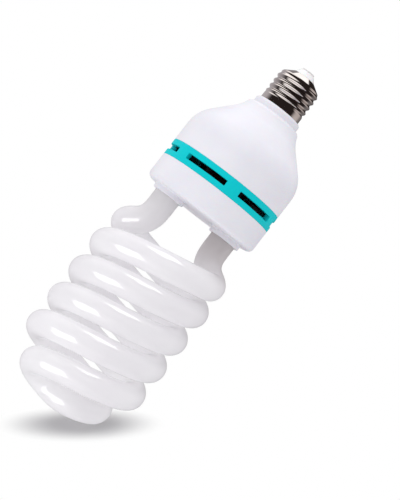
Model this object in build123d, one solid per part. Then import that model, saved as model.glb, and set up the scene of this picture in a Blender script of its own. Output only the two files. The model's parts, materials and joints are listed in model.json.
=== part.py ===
from build123d import *
from math import cos, pi, radians, sin, tan
import os

# A large compact fluorescent bulb. Lengths are millimetres and angles are degrees.
# The origin is the middle of the end face of the centre contact, and +Z points out of the cap,
# so the screw cap is at the top and the glass coil hangs below it.

# Screw cap
contact_radius = 4.0
contact_height = 0.9
contact_edge = 0.4
rivet_radius = 1.5
rivet_reach = 1.5
nose_rim = 0.3
nose_height = 3.3
mouth_radius = 6.8
shoulder_height = 3.4
shoulder_inset = 0.15
crest_radius = 13.15
thread_depth = 1.05
thread_pitch = 3.629
thread_turns = 4.5
skirt_flare = 0.8
skirt_height = 3.6
shell_wall = 0.3
insulator_depth = 2.0

# Upper housing
spigot_height = 12.0
spigot_wall = 1.5
collar_step = 1.9
collar_height = 4.4
collar_bevel = 1.0
neck_step = 2.4
neck_edge = 1.0
neck_slope = 70.0
dome_slope = 47.0
neck_curve = 22.0
dome_curve = 20.0
side_height = 12.0
housing_wall = 2.0

# Vent ring
band_height = 10.1
slot_count = 6
slot_height = 3.4
slot_angle = 45.0
slot_first = -110.5
tongue_height = 2.5
tongue_wall = 1.2

# Lower housing
plate_margin = 6.2
base_height = 15.0
base_edge = 3.0
plate_thickness = 2.4
sleeve_wall = 1.9
sleeve_drop = 3.1
sleeve_rise = 5.0
post_radius = 2.4
post_inset = 3.4
post_angles = (55.0, 125.0, 235.0, 305.0)
peg_radius = 1.1

# Glass tube: the coil is wound clockwise seen from the cap, by angles from the first level
tube_radius = 7.9
leg_gap = 24.2
leg_lead = 10.0
leg_bend_rise = 5.0
first_turn = 8.0
first_drop = 2.0
first_swell = 1.0
coil_radius = 31.9
coil_gap = 3.3
coil_drop = 22.8
coil_start = 40.0
corner_step = 36.0
coil_corners = 23
draw_in_start = 765.0
coil_end = 900.0
end_radius = 22.8
end_rise = 1.0
crossing_reach = 26.5
crossing_side = 11.4
crossing_drop = 6.2
crossing_turn = 36.0
tube_reach = 9.0
cement_height = 2.0

# Ballast board and what stands on it
board_thickness = 1.6
board_margin = 1.2
lead_gap = 3.5
wire_radius = 0.5
lead_spread = 2.5
lead_stub = 1.5
capacitor_radius = 9.0
capacitor_height = 30.0
capacitor_bead = 0.8
capacitor_edge = 1.2
core_window = 5.5
core_height = 20.0
core_depth = 7.0
core_limb = 3.5
core_yoke = 3.5
coil_edge = 2.0
ring_outer = 5.5
ring_inner = 2.6
ring_height = 5.0
transistor_width = 10.0
transistor_body = 9.0
transistor_depth = 4.4
transistor_tab = 1.3
transistor_top = 6.0
transistor_hole = 1.7
transistor_leg = 0.8
transistor_stand = 3.0
film_length = 12.0
film_width = 5.0
film_height = 10.0
film_edge = 1.0
drum_radius = 4.5
drum_waist = 3.2
drum_height = 11.0
drum_flange = 1.6
diode_count = 4
diode_radius = 1.4
diode_length = 4.6
diode_pitch = 5.2
resistor_radius = 1.8
resistor_length = 7.0
axial_wire = 0.3

# Places on the board, from its middle
capacitor_place = (0.0, 14.0)
choke_place = (0.0, -14.0)
ring_place = (21.0, -9.0)
transistor_column = -22.0
transistor_rows = (6.5, -13.0)
film_places = ((-13.0, 14.0), (13.0, 14.0))
drum_place = (22.0, 12.5)
diode_row = -27.0
resistor_place = (0.0, 27.0)
live_place = (0.0, 0.0)
neutral_place = (-4.0, 0.0)

# Clearances, and the share of a run that a bend may take
fit = 0.1
tube_fit = 0.2
bend_share = 0.49

# Levels of the cap, from the contact face down
nose_top = -contact_height
mouth_level = nose_top - nose_height
thread_top = mouth_level - shoulder_height
thread_bottom = thread_top - thread_pitch * thread_turns
cap_bottom = thread_bottom - skirt_height
rivet_bottom = thread_top - insulator_depth - rivet_reach
collar_bottom = cap_bottom - collar_height

# Radii of the cap, the collar and the neck
root_radius = crest_radius - thread_depth
thread_radius = crest_radius - thread_depth / 2
thread_offset = thread_depth / 2
skirt_radius = root_radius + skirt_flare
cap_bore = root_radius - shell_wall
spigot_radius = cap_bore - fit
spigot_bore = spigot_radius - spigot_wall
spigot_top = cap_bottom + spigot_height
collar_radius = skirt_radius + collar_step
neck_radius = collar_radius + neck_step

# Radii of the tube's legs, their sleeves and the body round them
leg_radius = leg_gap / 2 + tube_radius
sleeve_bore = tube_radius + tube_fit
sleeve_radius = sleeve_bore + sleeve_wall
body_radius = leg_radius + sleeve_radius + plate_margin
tongue_radius = body_radius - housing_wall - fit
ring_bore = tongue_radius - tongue_wall

# The dome is a hollow curve, a cone and a round shoulder that ends upright at the body radius
hollow_rise = neck_curve * (cos(radians(dome_slope)) - cos(radians(neck_slope)))
hollow_reach = neck_curve * (sin(radians(neck_slope)) - sin(radians(dome_slope)))
round_rise = dome_curve * cos(radians(dome_slope))
round_reach = dome_curve * (1 - sin(radians(dome_slope)))
cone_reach = body_radius - neck_radius - hollow_reach - round_reach
cone_rise = cone_reach * tan(radians(dome_slope))

# Levels of the body and the tube
band_top = collar_bottom - neck_edge - hollow_rise - cone_rise - round_rise - side_height
band_bottom = band_top - band_height
plate_bottom = band_bottom - base_height
plate_top = plate_bottom + plate_thickness
sleeve_top = plate_top + sleeve_rise
tube_top = plate_top + tube_reach
coil_top = plate_bottom - sleeve_drop - coil_drop
coil_pitch = 2 * (2 * tube_radius + coil_gap)

# The board and the places that line up with it
board_bottom = tube_top + lead_gap
board_top = board_bottom + board_thickness
board_radius = ring_bore - board_margin
post_circle = board_radius - post_inset
core_width = 2 * (2 * core_limb + core_window)
leg_angles = (leg_lead, leg_lead + 180)


def spot(radius, angle):
    """A place on the board or the plate, from its distance to the axis and its angle from +X."""
    return (radius * cos(radians(angle)), radius * sin(radians(angle)))


leg_places = [spot(leg_radius, angle) for angle in leg_angles]
post_places = [spot(post_circle, angle) for angle in post_angles]
tube_lead_places = [spot(leg_radius + side * lead_spread, angle) for angle in leg_angles for side in (-1, 1)]


def polar(radius, angle, z=0.0):
    """A point from its distance to the axis, its angle from +X and its height."""
    return Vector(radius * cos(radians(angle)), radius * sin(radians(angle)), z)


def turned(*points):
    """A solid turned from a closed outline of (radius, height) points."""
    return revolve(Plane.XZ * make_face(Polyline(*points, close=True)), Axis.Z)


def post(radius, low, high, place=(0.0, 0.0)):
    """An upright cylinder between two heights."""
    return Pos(*place, low) * Cylinder(radius, high - low, align=(Align.CENTER, Align.CENTER, Align.MIN))


def block(width, depth, low, high):
    """An upright block on the axis between two heights."""
    return Pos(0, 0, low) * Box(width, depth, high - low, align=(Align.CENTER, Align.CENTER, Align.MIN))


def rod(radius, points, share=bend_share):
    """A round rod along straight runs, with each corner rounded by a share of its shorter run."""
    bends = []
    for before, corner, after in zip(points, points[1:], points[2:]):
        into = corner - before
        onward = after - corner
        half_turn = radians(into.get_angle(onward)) / 2
        bends.append(share * min(into.length, onward.length) / tan(half_turn))
    path = FilletPolyline(*points, radius=bends) if bends else Line(*points)
    start = Plane(origin=points[0], z_dir=points[1] - points[0])
    return sweep(start * Circle(radius), path=path)


def on_board(place, solid, turn=0.0):
    """Stand a solid, made upwards from the XY plane, on the board."""
    return Pos(*place, board_top) * Rot(0, 0, turn) * solid


def make_cap_shell():
    """Rolled shell: the round thread is a circle carried along a small helix, between cone and skirt."""
    helix = Helix(thread_pitch, thread_top - thread_bottom, thread_offset, center=(0, 0, thread_bottom))
    section = Pos(thread_offset, 0, thread_bottom) * Circle(thread_radius)
    thread = sweep(section, path=helix, normal=(0, 0, 1)) - post(cap_bore, thread_bottom, thread_top)
    shoulder = turned(
        (cap_bore, thread_top),
        (root_radius - shoulder_inset, thread_top),
        (mouth_radius + shell_wall, mouth_level),
        (mouth_radius, mouth_level),
    )
    skirt = turned(
        (cap_bore, thread_bottom),
        (skirt_radius, thread_bottom),
        (skirt_radius, cap_bottom),
        (cap_bore, cap_bottom),
    )
    return thread + shoulder + skirt


def make_cap_insulator():
    """Moulded plug that fills the end of the shell and rises through its mouth as a cone."""
    plug_radius = cap_bore - fit
    foot = thread_top - insulator_depth
    plug = turned(
        (rivet_radius + fit, nose_top),
        (contact_radius + nose_rim, nose_top),
        (mouth_radius - fit, mouth_level),
        (mouth_radius - fit, mouth_level - fit),
        (plug_radius, thread_top - fit),
        (plug_radius, foot),
        (rivet_radius + fit, foot),
    )
    return plug


def make_centre_contact():
    """Flat contact with a rivet through the insulator."""
    head = post(contact_radius, nose_top, 0)
    head = fillet(head.edges().group_by(Axis.Z)[-1], contact_edge)
    return head + post(rivet_radius, rivet_bottom, nose_top)


def dome_line(inset):
    """The dome's section from the neck down to the foot of its side, moved inwards by a wall."""
    inward = Vector(-sin(radians(neck_slope)), -cos(radians(neck_slope)))
    start = Vector(neck_radius, collar_bottom - neck_edge) + inward * inset
    hollow = JernArc(start, polar(1, -neck_slope), neck_curve + inset, neck_slope - dome_slope)
    cone = Line(hollow @ 1, (hollow @ 1) + Vector(cone_reach, -cone_rise))
    shoulder = JernArc(cone @ 1, polar(1, -dome_slope), dome_curve - inset, dome_slope - 90)
    side = Line(shoulder @ 1, (body_radius - inset, band_top))
    return [hollow, cone, shoulder, side]


def make_upper_housing():
    """Moulded dome with a neck, a collar under the cap and a spigot that fits inside the cap."""
    outside = dome_line(0.0)
    inside = dome_line(housing_wall)
    neck_roof = inside[0] @ 0
    crown = Polyline(
        (spigot_bore, neck_roof.Y),
        (spigot_bore, spigot_top),
        (spigot_radius, spigot_top),
        (spigot_radius, cap_bottom),
        (collar_radius - collar_bevel, cap_bottom),
        (collar_radius, cap_bottom - collar_bevel),
        (collar_radius, collar_bottom),
        (neck_radius - neck_edge, collar_bottom),
        (neck_radius, collar_bottom - neck_edge),
    )
    roof = Line((spigot_bore, neck_roof.Y), neck_roof)
    foot = Line((body_radius, band_top), (body_radius - housing_wall, band_top))
    edges = [*crown.edges(), *outside, foot, *inside, roof]
    return revolve(Plane.XZ * make_face(edges), Axis.Z)


def make_vent_ring():
    """Coloured ring with a row of long slots, and a tongue into the housing above and below it."""
    ring = turned(
        (ring_bore, band_top + tongue_height),
        (tongue_radius, band_top + tongue_height),
        (tongue_radius, band_top),
        (body_radius, band_top),
        (body_radius, band_bottom),
        (tongue_radius, band_bottom),
        (tongue_radius, band_bottom - tongue_height),
        (ring_bore, band_bottom - tongue_height),
    )
    middle = (band_top + band_bottom) / 2
    opening = Plane.XZ * Pos(body_radius, middle) * Rectangle(body_radius, slot_height)
    slot = revolve(opening, Axis.Z, slot_angle)
    for number in range(slot_count):
        ring = ring - Rot(0, 0, slot_first + number * 360 / slot_count - slot_angle / 2) * slot
    return ring


def make_lower_housing():
    """Moulded cup with the tube plate, a sleeve for each leg of the tube and posts for the board."""
    cup = post(body_radius, plate_bottom, band_bottom)
    cup = fillet(cup.edges().group_by(Axis.Z)[0], base_edge)
    cup = cup - post(body_radius - housing_wall, plate_top, band_bottom)
    for place in leg_places:
        cup = cup + post(sleeve_radius, plate_bottom - sleeve_drop, sleeve_top, place)
    for place in leg_places:
        cup = cup - post(sleeve_bore, plate_bottom - sleeve_drop, sleeve_top, place)
    for place in post_places:
        cup = cup + post(post_radius, plate_top, board_bottom, place)
        cup = cup + post(peg_radius, board_bottom, board_top, place)
    return cup


def coil_corner(turn):
    """A corner of the coil's guide polygon, by the angle wound since the first level."""
    drawn = max(0.0, (turn - draw_in_start) / (coil_end - draw_in_start))
    radius = coil_radius - (coil_radius - end_radius) * (1 - cos(pi * drawn)) / 2
    return polar(radius / cos(radians(corner_step / 2)), -turn, coil_top - coil_pitch * turn / 360)


def make_lamp_tube():
    """One glass tube: a leg and a helix that crosses the axis at its end, then the same half a turn round."""
    end_level = coil_top - coil_pitch * coil_end / 360
    half = [
        polar(leg_radius, leg_lead, tube_top),
        polar(leg_radius, leg_lead, coil_top + leg_bend_rise),
        polar(coil_radius + first_swell, -first_turn, coil_top - first_drop),
    ]
    half += [coil_corner(coil_start + number * corner_step) for number in range(coil_corners)]
    crossing = [
        Vector(-crossing_reach, crossing_side, end_level + end_rise),
        Vector(0, crossing_side, end_level - crossing_drop),
    ]
    half += [point.rotate(Axis.Z, crossing_turn) for point in crossing]
    other = [Vector(-point.X, -point.Y, point.Z) for point in reversed(half)]
    return rod(tube_radius, half + other)


def make_tube_cement(place):
    """Ring of cement round a tube end, on top of its sleeve."""
    ring = post(sleeve_radius, sleeve_top, sleeve_top + cement_height, place)
    return ring - post(tube_radius + fit, sleeve_top, sleeve_top + cement_height, place)


def make_ballast_board():
    """Round board on the posts, with holes for the pegs and the wires."""
    board = post(board_radius, board_bottom, board_top)
    for place in post_places:
        board = board - post(peg_radius + fit, board_bottom, board_top, place)
    for place in [*tube_lead_places, live_place, neutral_place]:
        board = board - post(wire_radius + fit, board_bottom, board_top, place)
    return board


def make_storage_capacitor():
    """Electrolytic can with a rolled bead near its foot."""
    bead = 2 * capacitor_bead
    can = turned(
        (0, 0),
        (capacitor_radius, 0),
        (capacitor_radius, bead),
        (capacitor_radius - capacitor_bead, bead + capacitor_bead),
        (capacitor_radius, bead + 2 * capacitor_bead),
        (capacitor_radius, capacitor_height - capacitor_edge),
        (capacitor_radius - capacitor_edge, capacitor_height),
        (0, capacitor_height),
    )
    return on_board(capacitor_place, can)


def make_choke_core():
    """Ferrite core with a window on each side of its middle limb."""
    core = block(core_width, core_depth, 0, core_height)
    window = block(core_window, core_depth, core_yoke, core_height - core_yoke)
    for side in (-1, 1):
        core = core - Pos(side * (core_limb + core_window / 2), 0, 0) * window
    return on_board(choke_place, core)


def make_choke_coil():
    """Winding round the middle limb, filling both windows."""
    low = core_yoke + fit
    high = core_height - core_yoke - fit
    width = 2 * (core_limb + core_window - fit)
    depth = core_depth + 2 * (core_window - fit)
    coil = block(width, depth, low, high)
    coil = fillet(coil.edges().filter_by(Axis.Z), coil_edge)
    return on_board(choke_place, coil - block(2 * (core_limb + fit), core_depth + 2 * fit, low, high))


def make_drive_transformer():
    """Small ferrite ring lying on the board."""
    ring = post(ring_outer, 0, ring_height) - post(ring_inner, 0, ring_height)
    return on_board(ring_place, ring)


def make_transistor(place):
    """Flat power transistor standing on three legs, with its metal tab behind it."""
    top = transistor_stand + transistor_body + transistor_top
    body = block(transistor_width, transistor_depth, transistor_stand, transistor_stand + transistor_body)
    tab = block(transistor_width, transistor_tab, transistor_stand, top)
    back = (transistor_depth - transistor_tab) / 2
    hole = Rot(90, 0, 0) * Cylinder(transistor_hole, 2 * transistor_depth)
    tab = tab - Pos(0, 0, top - transistor_top / 2) * hole
    solid = body + Pos(0, back, 0) * tab
    for side in (-1, 0, 1):
        leg = block(transistor_leg, transistor_leg, 0, transistor_stand)
        solid = solid + Pos(side * transistor_width / 4, 0, 0) * leg
    return on_board(place, solid, 90)


def make_film_capacitor(place):
    """Dipped film capacitor, a block with rounded upright edges."""
    film = block(film_width, film_length, 0, film_height)
    return on_board(place, fillet(film.edges().filter_by(Axis.Z), film_edge))


def make_filter_inductor():
    """Wound drum with a flange above and below the winding."""
    spool = turned(
        (0, 0),
        (drum_radius, 0),
        (drum_radius, drum_flange),
        (drum_waist, drum_flange),
        (drum_waist, drum_height - drum_flange),
        (drum_radius, drum_height - drum_flange),
        (drum_radius, drum_height),
        (0, drum_height),
    )
    return on_board(drum_place, spool)


def axial_part(radius, length):
    """A small cylinder that lies along X, with a wire from each end bent down to the board."""
    reach = length / 2 + 4 * axial_wire
    level = radius + axial_wire
    wire = rod(
        axial_wire,
        [Vector(-reach, 0, 0), Vector(-reach, 0, level), Vector(reach, 0, level), Vector(reach, 0, 0)],
    )
    return wire + Pos(0, 0, level) * Rot(0, 90, 0) * Cylinder(radius, length)


def make_rectifier_diode(number):
    """One of a row of diodes beside the choke."""
    across = (number - (diode_count - 1) / 2) * diode_pitch
    return on_board((across, diode_row), axial_part(diode_radius, diode_length), 90)


def make_fuse_resistor():
    """Wire-wound resistor beside the can."""
    return on_board(resistor_place, axial_part(resistor_radius, resistor_length))


def make_tube_lead(place):
    """Straight wire from a tube end up through the board."""
    return rod(wire_radius, [Vector(*place, tube_top), Vector(*place, board_top + lead_stub)])


def make_live_lead():
    """Wire from the rivet of the contact down through the board."""
    return rod(wire_radius, [Vector(*live_place, rivet_bottom), Vector(*live_place, board_bottom - lead_stub)])


def make_neutral_lead():
    """Wire from the inside of the shell, over the spigot and down through the board."""
    level = spigot_top + wire_radius + fit
    points = [
        Vector(fit - cap_bore, neutral_place[1], level),
        Vector(*neutral_place, level),
        Vector(*neutral_place, board_bottom - lead_stub),
    ]
    return rod(wire_radius, points)


nodes = {
    "cap_shell": make_cap_shell(),
    "cap_insulator": make_cap_insulator(),
    "centre_contact": make_centre_contact(),
    "upper_housing": make_upper_housing(),
    "vent_ring": make_vent_ring(),
    "lower_housing": make_lower_housing(),
    "lamp_tube": make_lamp_tube(),
    "tube_cement_right": make_tube_cement(leg_places[0]),
    "tube_cement_left": make_tube_cement(leg_places[1]),
    "ballast_board": make_ballast_board(),
    "storage_capacitor": make_storage_capacitor(),
    "choke_core": make_choke_core(),
    "choke_coil": make_choke_coil(),
    "drive_transformer": make_drive_transformer(),
    "resonant_capacitor": make_film_capacitor(film_places[0]),
    "blocking_capacitor": make_film_capacitor(film_places[1]),
    "filter_inductor": make_filter_inductor(),
    "fuse_resistor": make_fuse_resistor(),
    "live_lead": make_live_lead(),
    "neutral_lead": make_neutral_lead(),
}
for number, row in enumerate(transistor_rows):
    nodes[f"transistor_{number + 1}"] = make_transistor((transistor_column, row))
for number in range(diode_count):
    nodes[f"rectifier_diode_{number + 1}"] = make_rectifier_diode(number)
for number, place in enumerate(tube_lead_places):
    nodes[f"tube_lead_{number + 1}"] = make_tube_lead(place)

os.makedirs("parts", exist_ok=True)
for name, solid in nodes.items():
    export_step(solid, f"parts/{name}.step")
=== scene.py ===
"""Compact fluorescent bulb: fine surfaces, finishes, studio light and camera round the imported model."""
import json
import logging
import math
from dataclasses import dataclass
from enum import Enum

import bmesh
import bpy
import numpy as np
from mathutils import Matrix, Vector


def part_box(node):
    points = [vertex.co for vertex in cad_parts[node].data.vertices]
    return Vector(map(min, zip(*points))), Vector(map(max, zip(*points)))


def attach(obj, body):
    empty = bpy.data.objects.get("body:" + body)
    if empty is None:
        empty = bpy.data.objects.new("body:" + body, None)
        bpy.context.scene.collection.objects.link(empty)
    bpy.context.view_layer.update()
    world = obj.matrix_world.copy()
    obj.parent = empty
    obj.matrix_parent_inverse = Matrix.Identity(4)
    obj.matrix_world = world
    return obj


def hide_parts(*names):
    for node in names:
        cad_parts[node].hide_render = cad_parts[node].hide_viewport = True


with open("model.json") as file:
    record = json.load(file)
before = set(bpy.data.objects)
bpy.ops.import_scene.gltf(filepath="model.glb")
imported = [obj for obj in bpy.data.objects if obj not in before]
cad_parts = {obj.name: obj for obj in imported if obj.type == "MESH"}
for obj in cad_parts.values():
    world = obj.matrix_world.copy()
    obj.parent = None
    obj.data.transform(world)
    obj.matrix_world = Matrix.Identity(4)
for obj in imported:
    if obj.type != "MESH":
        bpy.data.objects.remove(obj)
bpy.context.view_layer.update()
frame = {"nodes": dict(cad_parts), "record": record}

log = logging.getLogger("bulb")
Array = np.ndarray
Socket = bpy.types.NodeSocket
Thing = bpy.types.Object
Mesh = bpy.types.Mesh
Material = bpy.types.Material
Colour = tuple[float, float, float]
Opaque = tuple[float, float, float, float]
Screen = tuple[int, int, int]
Direction = tuple[float, float, float]
Corner = tuple[float, float, float]
Pair = tuple[float, float]

# Lengths are millimetres, as in the CAD model. Meshes, the camera's clip, lights and the floor are in metres.
MM = 0.001
BODY = "root"
AXIS: Pair = (0.0, 0.0)
# Where most values of a noise lie.
NOISE_SPAN: Pair = (0.3, 0.7)
# Roundings that corners share, from the sharpest to the softest.
KEEN = 0.05
CRISP = 0.1
FINE = 0.2
SOFT = 0.3
EASED = 0.4
FULL = 0.6


class Slot(Enum):
    """The record's material slots."""

    CAP_METAL = "cap_metal"
    INSULATOR = "insulator_white"
    CONTACT = "contact_metal"
    HOUSING = "housing_white"
    BAND = "band_teal"
    GLASS = "tube_glass"
    CEMENT = "cement"
    BOARD = "board_laminate"
    CAN = "can_sleeve"
    FERRITE = "ferrite"
    WINDING = "winding_copper"
    FILM = "film_brown"
    GREY_EPOXY = "epoxy_grey"
    BLACK_EPOXY = "epoxy_black"
    LEAD_SLEEVE = "lead_sleeve"
    BARE_WIRE = "bare_wire"


# Materials


def opaque(colour: Colour) -> Opaque:
    """A colour with full cover, as nodes take it."""
    return (*colour, 1.0)


def linear(screen: Screen) -> Opaque:
    """Screen values from 0 to 255 as light: each share c becomes ((c + 0.055) / 1.055) to the power 2.4."""
    share = (np.array(screen) / 255 + 0.055) / 1.055
    return opaque(tuple(float(c) for c in share**2.4))


class Nodes:
    """Short calls that add nodes to a material or to a world."""

    def __init__(self, owner: Material | bpy.types.World) -> None:
        """Start with an empty tree.

        Args:
            owner: The material or the world.
        """
        owner.use_nodes = True
        self.tree = owner.node_tree
        self.tree.nodes.clear()

    def fill(self, node: bpy.types.Node, *ordered: object, **named: object) -> None:
        """Link a node's inputs to other nodes' outputs, or set them to values.

        Args:
            node: The node.
            ordered: Outputs or values for its first inputs.
            named: Outputs or values by name, in which an underscore stands for a space.
        """
        sockets = [*node.inputs[: len(ordered)], *(node.inputs[name.replace("_", " ")] for name in named)]
        for socket, value in zip(sockets, (*ordered, *named.values())):
            if isinstance(value, Socket):
                self.tree.links.new(value, socket)
            else:
                socket.default_value = value

    def add(self, kind: str, *ordered: object, **named: object) -> bpy.types.Node:
        """Add a node of a kind, and fill its inputs.

        Args:
            kind: The node's type, without its first word.
            ordered, named: Its inputs.

        Returns:
            The node.
        """
        node = self.tree.nodes.new("ShaderNode" + kind)
        self.fill(node, *ordered, **named)
        return node

    def place(self, stretch: Direction = (1.0, 1.0, 1.0)) -> Socket:
        """Object coordinates, in which a pattern repeats as often along X, Y and Z as the stretch says."""
        coordinates = self.add("TexCoord").outputs["Object"]
        return self.add("Mapping", Vector=coordinates, Scale=stretch).outputs["Vector"]

    def noise(self, vector: Socket, scale: float, octaves: float = 3.0) -> Socket:
        """Noise with a number of cells per metre and of octaves."""
        return self.add("TexNoise", Vector=vector, Scale=scale, Detail=octaves).outputs["Fac"]

    def span(self, noise: Socket, least: float, most: float) -> Socket:
        """Spread most values of a noise over a range."""
        start, end = NOISE_SPAN
        node = self.add("MapRange", Value=noise, From_Min=start, From_Max=end, To_Min=least, To_Max=most)
        return node.outputs["Result"]

    def step(self, value: Socket, start: float, end: float) -> Socket:
        """A smooth step from 0 at the start to 1 at the end.

        Args:
            value: What is stepped.
            start, end: Where the step starts and ends.

        Returns:
            The step's output.
        """
        node = self.add("MapRange", Value=value, From_Min=start, From_Max=end)
        node.interpolation_type = "SMOOTHSTEP"
        return node.outputs["Result"]

    def blend(self, share: Socket, first: Socket | Opaque, second: Socket | Opaque) -> Socket:
        """Two colours mixed by a share of the second."""
        return self.add("MixRGB", share, first, second).outputs["Color"]

    def colours(self, noise: Socket, shade: Screen, light: Screen) -> Socket:
        """Fade between two colours over most values of a noise.

        Args:
            noise: The noise.
            shade, light: The colours at its low and its high values.

        Returns:
            The colour output.
        """
        ramp = self.add("ValToRGB", Fac=noise)
        for stop, position, colour in zip(ramp.color_ramp.elements, NOISE_SPAN, (shade, light)):
            stop.position = position
            stop.color = linear(colour)
        return ramp.outputs["Color"]

    def mixed(self, share: Socket | float, first: Socket, second: Socket) -> Socket:
        """Two shaders mixed by a share of the second."""
        return self.add("MixShader", share, first, second).outputs["Shader"]


class MaterialNodes(Nodes):
    """The nodes of one material, with a shader and an output."""

    def __init__(self, name: str) -> None:
        """Make the material.

        Args:
            name: The material's name.
        """
        self.material = bpy.data.materials.new(name)
        super().__init__(self.material)
        self.shader = self.add("BsdfPrincipled")
        self.body = self.shader.outputs["BSDF"]
        self.output = self.add("OutputMaterial", Surface=self.body)

    def set(self, **inputs: object) -> None:
        """Feed the shader's own inputs."""
        self.fill(self.shader, **inputs)

    def mottle(self, noise: Socket, shade: Screen, light: Screen, gloss: Pair) -> None:
        """Let colour and roughness follow one noise."""
        self.set(Base_Color=self.colours(noise, shade, light), Roughness=self.span(noise, *gloss))

    def bump(self, height: Socket, depth: float) -> None:
        """Raise the surface by a value, by a depth in millimetres where the value is 1."""
        node = self.add("Bump", Height=height, Distance=depth * MM)
        self.set(Normal=node.outputs["Normal"])


@dataclass(frozen=True)
class Finish:
    """A named finish between two close colours."""

    name: str
    light: Screen
    shade: Screen

    def build(self) -> None:
        """Make the material, as each kind of finish does in its own way."""
        raise NotImplementedError


@dataclass(frozen=True)
class CoatedGlass(Finish):
    """Clear glass wall over a white powder: a matt body under a sharp clear coat.

    Each leg has a grey of its own, chosen to match how bright the photograph shows it. That grey is painted
    shade: the legs under the housing are greyer than the coil, the right leg far more than the left. It is
    not a known property of the glass.
    """

    left_leg_painted_shade: Screen
    right_leg_painted_shade: Screen
    leg_shade_levels: Pair = (-132.0, -110.0)
    leg_shade_middle: float = 10.0
    clouds_per_metre: float = 35.0
    powder_roughness: float = 0.6
    through: float = 0.5
    coat_roughness: float = 0.01
    coat_ior: float = 1.5

    def build(self) -> None:
        """Make the material: whites in soft clouds, legs greyed by painted shade, light that passes through,
        a clear coat.
        """
        nodes = MaterialNodes(self.name)
        place = nodes.place()
        axes = nodes.add("SeparateXYZ", Vector=place).outputs
        right_leg_shade_share = nodes.step(axes["X"], -self.leg_shade_middle * MM, self.leg_shade_middle * MM)
        leg_shade_mask = nodes.step(axes["Z"], *(level * MM for level in self.leg_shade_levels))
        # Painted shade: a grey for each leg, the right one darker, blended in over the legs near the housing.
        legs = nodes.blend(right_leg_shade_share, linear(self.left_leg_painted_shade), linear(self.right_leg_painted_shade))
        clouds = nodes.colours(nodes.noise(place, self.clouds_per_metre), self.shade, self.light)
        # The powder's whites, with the painted leg shade laid over them.
        white = nodes.blend(leg_shade_mask, clouds, legs)
        nodes.set(
            Base_Color=white,
            Roughness=self.powder_roughness,
            Specular_IOR_Level=0.0,
            Coat_Weight=1.0,
            Coat_Roughness=self.coat_roughness,
            Coat_IOR=self.coat_ior,
        )
        passed = nodes.add("BsdfTranslucent", Color=white).outputs["BSDF"]
        nodes.fill(nodes.output, Surface=nodes.mixed(self.through, nodes.body, passed))


@dataclass(frozen=True)
class MouldedPlastic(Finish):
    """Injection-moulded plastic with a fine grain and an uneven sheen."""

    gloss: Pair = (0.48, 0.58)
    shine: float = 0.5
    patches_per_metre: float = 45.0
    grain_per_metre: float = 2600.0
    grain_depth: float = 0.012
    cloudiness: float = 0.1
    depth_of_light: float = 0.8

    def build(self) -> None:
        """Make the material: close shades, roughness in patches and a fine moulded grain."""
        nodes = MaterialNodes(self.name)
        nodes.mottle(nodes.noise(nodes.place(), self.patches_per_metre), self.shade, self.light, self.gloss)
        nodes.bump(nodes.noise(nodes.place(), self.grain_per_metre, octaves=2.0), self.grain_depth)
        nodes.set(
            Specular_IOR_Level=self.shine,
            Subsurface_Weight=self.cloudiness,
            Subsurface_Scale=self.depth_of_light * MM,
        )


@dataclass(frozen=True)
class RolledMetal(Finish):
    """Plated sheet with fine lines round the axis, from rolling."""

    gloss: Pair = (0.12, 0.3)
    tarnish_per_metre: float = 130.0
    lines_per_metre: float = 2500.0
    line_stretch: Direction = (0.04, 0.04, 1.0)
    line_depth: float = 0.001

    def build(self) -> None:
        """Make the material: bright metal, cloudy tarnish and lines that follow the rolling."""
        nodes = MaterialNodes(self.name)
        tarnish = nodes.noise(nodes.place(), self.tarnish_per_metre, octaves=5.0)
        nodes.mottle(tarnish, self.shade, self.light, self.gloss)
        lines = nodes.noise(nodes.place(self.line_stretch), self.lines_per_metre, octaves=2.0)
        nodes.bump(lines, self.line_depth)
        nodes.set(Metallic=1.0)


@dataclass(frozen=True)
class PlainCast(Finish):
    """A small component's body: cast, dipped or pressed, with a speckled grain."""

    gloss: Pair = (0.4, 0.6)
    metallic: float = 0.0
    grain: Direction = (1.0, 1.0, 1.0)
    speckles_per_metre: float = 900.0
    grain_depth: float = 0.03

    def build(self) -> None:
        """Make the material: speckled colour, uneven gloss and a shallow grain."""
        nodes = MaterialNodes(self.name)
        speckles = nodes.noise(nodes.place(self.grain), self.speckles_per_metre)
        nodes.mottle(speckles, self.shade, self.light, self.gloss)
        nodes.bump(speckles, self.grain_depth)
        nodes.set(Metallic=self.metallic)


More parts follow.
